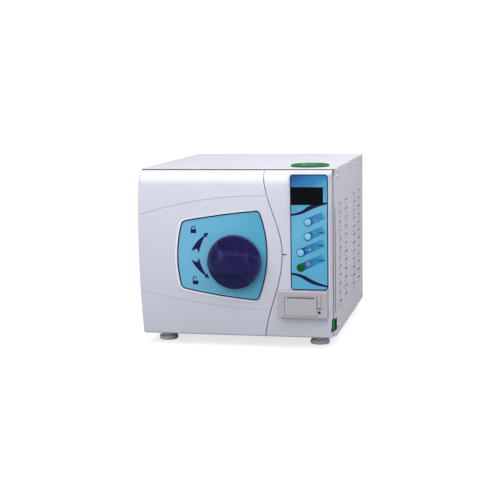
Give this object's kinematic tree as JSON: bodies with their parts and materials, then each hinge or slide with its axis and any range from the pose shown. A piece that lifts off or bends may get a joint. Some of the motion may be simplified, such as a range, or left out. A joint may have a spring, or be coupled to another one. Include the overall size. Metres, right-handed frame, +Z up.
{
  "type": "benchtop autoclave",
  "caption": "Benchtop steam steriliser: left-hinged bowed door with rotary lock knob, slim control fascia with display and paper printer, louvred sheet cabinet, top water filler.",
  "frame": {"origin": "on the bench surface, under the middle of the object's bounding box", "axes": "+X to the viewer's right seen from the front, +Y from the door towards the rear panel, +Z up"},
  "size_m": [0.451, 0.605, 0.409],
  "materials": {
    "painted_sheet": "powder coat, fine texture, satin",
    "front_plastic": "moulded, semi-gloss",
    "steel": "brushed stainless",
    "galvanised": "zinc plated, dull",
    "light_alloy": "cast and machined, dull",
    "brass": "machined",
    "knob_plastic": "glossy, very dark blue",
    "label_blue": "printed film, satin",
    "display_black": "dark window, glossy",
    "printer_grey": "moulded, fine grain",
    "black_plastic": "moulded, matt",
    "green_plastic": "moulded, glossy",
    "button_plastic": "soft-touch key tops",
    "rubber": "pale elastomer",
    "silicone": "silicone, satin",
    "paper": "thermal paper",
    "board_green": "solder mask",
    "tank_plastic": "translucent moulded",
    "insulation": "glass-fibre blanket"
  },
  "bodies": {
    "cabinet": {"base_pan": "painted_sheet", "top_cover": "painted_sheet", "side_panel_left": "painted_sheet", "side_panel_right": "painted_sheet", "rear_panel": "painted_sheet", "control_fascia": "front_plastic", "chamber": "steel", "chamber_flange": "steel", "hinge_bracket": "steel", "hinge_pin": "steel", "latch_keeper": "steel", "tray_rack": "steel", "tray_1": "steel", "tray_2": "steel", "tray_3": "steel", "front_frame": "galvanised", "heater_band": "galvanised", "condenser": "light_alloy", "vacuum_pump": "light_alloy", "steam_generator": "light_alloy", "safety_valve": "brass", "drain_coupling": "brass", "overlay_panel": "label_blue", "display_window": "display_black", "printer_bezel": "printer_grey", "switch_bezel": "black_plastic", "filler_neck": "black_plastic", "fan_frame": "black_plastic", "power_inlet": "black_plastic", "foot_1": "rubber", "foot_2": "rubber", "foot_3": "rubber", "foot_4": "rubber", "paper_roll": "paper", "control_board": "board_green", "water_tank": "tank_plastic", "waste_tank": "tank_plastic", "insulation_jacket": "insulation"},
    "door": {"door_cover": "front_plastic", "door_liner": "painted_sheet", "door_label_plate": "label_blue", "door_bridge": "steel", "pressure_plate": "steel", "door_seal": "silicone", "plate_bolt": "steel", "knob_bush": "brass"},
    "lock_knob": {"lock_knob": "knob_plastic", "knob_spindle": "steel"},
    "latch_bolt": {"latch_bolt": "steel"},
    "printer_door": {"printer_door": "printer_grey"},
    "printer_latch": {"printer_latch": "printer_grey"},
    "printer_feed_key": {"printer_feed_key": "black_plastic"},
    "button_1": {"button_1": "button_plastic"},
    "button_2": {"button_2": "button_plastic"},
    "button_3": {"button_3": "button_plastic"},
    "button_4": {"button_4": "button_plastic"},
    "power_rocker": {"power_rocker": "green_plastic"},
    "cap_seal": {"cap_seal": "rubber"},
    "filler_cap": {"filler_cap": "green_plastic"},
    "fan_rotor": {"fan_rotor": "black_plastic"}
  },
  "joints": [
    {"name": "door_hinge", "type": "hinge", "parent": "cabinet", "child": "door", "pos_m": [-0.212, -0.2315, 0.212], "axis": [0, 0, -1], "range_deg": [0, 110]},
    {"name": "knob_turn", "type": "hinge", "parent": "door", "child": "lock_knob", "pos_m": [0.003, -0.258, 0.199], "axis": [0, 1, 0], "range_deg": [0, 90]},
    {"name": "bolt_slide", "type": "slide", "parent": "door", "child": "latch_bolt", "axis": [1, 0, 0], "range_m": [0, 0.0189]},
    {"name": "printer_door_hinge", "type": "hinge", "parent": "cabinet", "child": "printer_door", "pos_m": [0.15105, -0.259, 0.0798], "axis": [1, 0, 0], "range_deg": [0, 80]},
    {"name": "printer_latch_slide", "type": "slide", "parent": "cabinet", "child": "printer_latch", "axis": [0, 0, -1], "range_m": [0, 0.005], "stiffness_N_per_m": 60},
    {"name": "feed_key_press", "type": "slide", "parent": "cabinet", "child": "printer_feed_key", "axis": [0, 1, 0], "range_m": [0, 0.001], "stiffness_N_per_m": 300},
    {"name": "button_1_press", "type": "slide", "parent": "cabinet", "child": "button_1", "axis": [0, 1, 0], "range_m": [0, 0.0012], "stiffness_N_per_m": 400},
    {"name": "button_2_press", "type": "slide", "parent": "cabinet", "child": "button_2", "axis": [0, 1, 0], "range_m": [0, 0.0012], "stiffness_N_per_m": 400},
    {"name": "button_3_press", "type": "slide", "parent": "cabinet", "child": "button_3", "axis": [0, 1, 0], "range_m": [0, 0.0012], "stiffness_N_per_m": 400},
    {"name": "button_4_press", "type": "slide", "parent": "cabinet", "child": "button_4", "axis": [0, 1, 0], "range_m": [0, 0.0012], "stiffness_N_per_m": 400},
    {"name": "power_rocker_tilt", "type": "hinge", "parent": "cabinet", "child": "power_rocker", "pos_m": [0.21227, -0.21028, 0.052], "axis": [0, 0, -1], "range_deg": [0, 20]},
    {"name": "cap_lift", "type": "slide", "parent": "cabinet", "child": "cap_seal", "axis": [0, 0, 1], "range_m": [0, 0.06]},
    {"name": "cap_turn", "type": "hinge", "parent": "cap_seal", "child": "filler_cap", "pos_m": [0.157, -0.1495, 0.4056], "axis": [0, 0, 1], "range_deg": [0, 90]},
    {"name": "fan_spin", "type": "hinge", "parent": "cabinet", "child": "fan_rotor", "pos_m": [-0.066, 0.2765, 0.212], "axis": [0, 1, 0], "continuous": true}
  ],
  "couplings": [
    {"joint": "bolt_slide", "follows": "knob_turn", "m_per_rad": 0.012}
  ]
}
